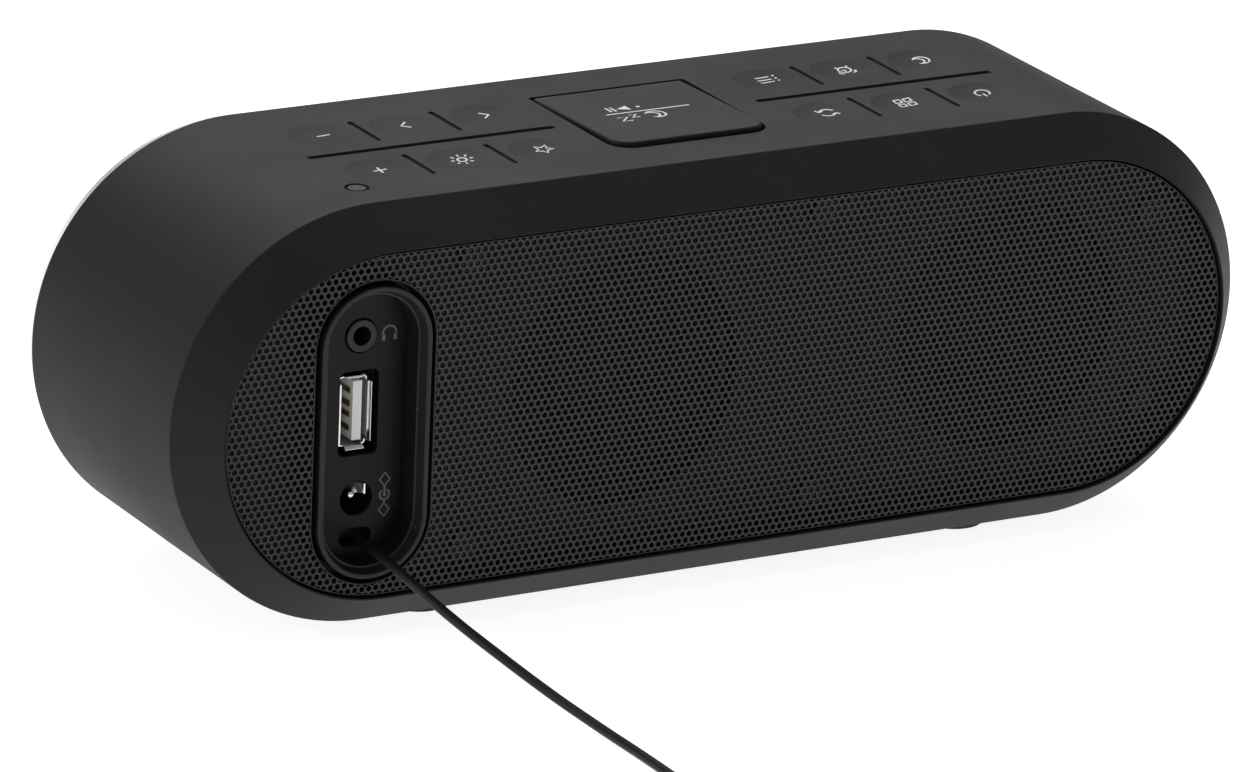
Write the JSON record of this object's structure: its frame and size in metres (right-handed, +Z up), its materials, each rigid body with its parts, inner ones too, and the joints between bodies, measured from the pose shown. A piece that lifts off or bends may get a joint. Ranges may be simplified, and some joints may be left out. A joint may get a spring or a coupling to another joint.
{
  "type": "tabletop radio",
  "caption": "Bedside clock radio: pill-shaped soft-touch body, dished deck keys, hinged snooze plate, rear loudspeaker grille, connector bay and a wire aerial.",
  "frame": {"origin": "on the table, under the middle of the body's box without the aerial", "axes": "+X along the body's length, -Y the display side, +Y the grille side, +Z up"},
  "size_m": [0.22, 0.2008, 0.0801],
  "materials": {
    "soft_rubber": "soft-touch elastomer, fine grain",
    "hard_plastic": "moulded, fine texture",
    "bay_plastic": "moulded, satin",
    "socket_plastic": "moulded, semi-gloss",
    "silver_trim": "satin silver paint",
    "smoked_lens": "polished smoked acrylic",
    "display_black": "black display module",
    "circuit_board": "green solder mask",
    "tinned_steel": "tin plated",
    "gold_contact": "gold flashed",
    "sensor_window": "frosted window",
    "grille_steel": "powder coated, satin",
    "bright_metal": "nickel plated",
    "white_plastic": "moulded white",
    "wire_sheath": "flexible vinyl sheath",
    "tie_strap": "woven strap",
    "basket_steel": "pressed and painted",
    "magnet_black": "ferrite with plated plates",
    "cone_paper": "treated paper",
    "surround_rubber": "butyl roll",
    "foot_rubber": "moulded pads",
    "screw_steel": "zinc plated"
  },
  "bodies": {
    "cabinet": {"outer_sleeve": "soft_rubber", "inner_casing": "hard_plastic", "display_mask": "hard_plastic", "rear_baffle": "hard_plastic", "sensor_ring": "hard_plastic", "aerial_clip": "hard_plastic", "bay_ring": "bay_plastic", "bay_floor": "bay_plastic", "headphone_socket": "socket_plastic", "power_socket": "socket_plastic", "front_trim": "silver_trim", "display_lens": "smoked_lens", "display_panel": "display_black", "main_board": "circuit_board", "key_board": "circuit_board", "io_board": "circuit_board", "tuner_shield": "tinned_steel", "key_contacts": "gold_contact", "usb_contacts": "gold_contact", "sensor_lens": "sensor_window", "rear_grille": "grille_steel", "usb_shell": "bright_metal", "power_pin": "bright_metal", "usb_tongue": "white_plastic", "aerial_wire": "wire_sheath", "aerial_coil": "wire_sheath", "aerial_tip": "wire_sheath", "aerial_tie": "tie_strap", "speaker_1_basket": "basket_steel", "speaker_2_basket": "basket_steel", "speaker_1_magnet": "magnet_black", "speaker_2_magnet": "magnet_black", "foot_1": "foot_rubber", "foot_2": "foot_rubber", "foot_3": "foot_rubber", "foot_4": "foot_rubber", "baffle_screws": "screw_steel", "speaker_screws": "screw_steel", "board_screws": "screw_steel", "key_board_screws": "screw_steel"},
    "key_plus": {"key_plus": "soft_rubber"},
    "key_dimmer": {"key_dimmer": "soft_rubber"},
    "key_preset": {"key_preset": "soft_rubber"},
    "key_minus": {"key_minus": "soft_rubber"},
    "key_back": {"key_back": "soft_rubber"},
    "key_forward": {"key_forward": "soft_rubber"},
    "key_scan": {"key_scan": "soft_rubber"},
    "key_mode": {"key_mode": "soft_rubber"},
    "key_power": {"key_power": "soft_rubber"},
    "key_info": {"key_info": "soft_rubber"},
    "key_alarm": {"key_alarm": "soft_rubber"},
    "key_sleep": {"key_sleep": "soft_rubber"},
    "snooze_bar": {"snooze_bar": "soft_rubber"},
    "speaker_1_diaphragm": {"speaker_1_cone": "cone_paper", "speaker_1_surround": "surround_rubber"},
    "speaker_2_diaphragm": {"speaker_2_cone": "cone_paper", "speaker_2_surround": "surround_rubber"}
  },
  "joints": [
    {"name": "press_plus", "type": "slide", "parent": "cabinet", "child": "key_plus", "axis": [0, 0, -1], "range_m": [0, 0.0006], "stiffness_N_per_m": 2500},
    {"name": "press_dimmer", "type": "slide", "parent": "cabinet", "child": "key_dimmer", "axis": [0, 0, -1], "range_m": [0, 0.0006], "stiffness_N_per_m": 2500},
    {"name": "press_preset", "type": "slide", "parent": "cabinet", "child": "key_preset", "axis": [0, 0, -1], "range_m": [0, 0.0006], "stiffness_N_per_m": 2500},
    {"name": "press_minus", "type": "slide", "parent": "cabinet", "child": "key_minus", "axis": [0, 0, -1], "range_m": [0, 0.0006], "stiffness_N_per_m": 2500},
    {"name": "press_back", "type": "slide", "parent": "cabinet", "child": "key_back", "axis": [0, 0, -1], "range_m": [0, 0.0006], "stiffness_N_per_m": 2500},
    {"name": "press_forward", "type": "slide", "parent": "cabinet", "child": "key_forward", "axis": [0, 0, -1], "range_m": [0, 0.0006], "stiffness_N_per_m": 2500},
    {"name": "press_scan", "type": "slide", "parent": "cabinet", "child": "key_scan", "axis": [0, 0, -1], "range_m": [0, 0.0006], "stiffness_N_per_m": 2500},
    {"name": "press_mode", "type": "slide", "parent": "cabinet", "child": "key_mode", "axis": [0, 0, -1], "range_m": [0, 0.0006], "stiffness_N_per_m": 2500},
    {"name": "press_power", "type": "slide", "parent": "cabinet", "child": "key_power", "axis": [0, 0, -1], "range_m": [0, 0.0006], "stiffness_N_per_m": 2500},
    {"name": "press_info", "type": "slide", "parent": "cabinet", "child": "key_info", "axis": [0, 0, -1], "range_m": [0, 0.0006], "stiffness_N_per_m": 2500},
    {"name": "press_alarm", "type": "slide", "parent": "cabinet", "child": "key_alarm", "axis": [0, 0, -1], "range_m": [0, 0.0006], "stiffness_N_per_m": 2500},
    {"name": "press_sleep", "type": "slide", "parent": "cabinet", "child": "key_sleep", "axis": [0, 0, -1], "range_m": [0, 0.0006], "stiffness_N_per_m": 2500},
    {"name": "press_snooze", "type": "hinge", "parent": "cabinet", "child": "snooze_bar", "pos_m": [0, -0.01785, 0.07835], "axis": [-1, 0, 0], "range_deg": [0, 1.7], "stiffness_Nm_per_rad": 2.5},
    {"name": "speaker_1_stroke", "type": "slide", "parent": "cabinet", "child": "speaker_1_diaphragm", "axis": [0, 1, 0], "range_m": [-0.0008, 0.0008], "stiffness_N_per_m": 2500},
    {"name": "speaker_2_stroke", "type": "slide", "parent": "cabinet", "child": "speaker_2_diaphragm", "axis": [0, 1, 0], "range_m": [-0.0008, 0.0008], "stiffness_N_per_m": 2500}
  ]
}
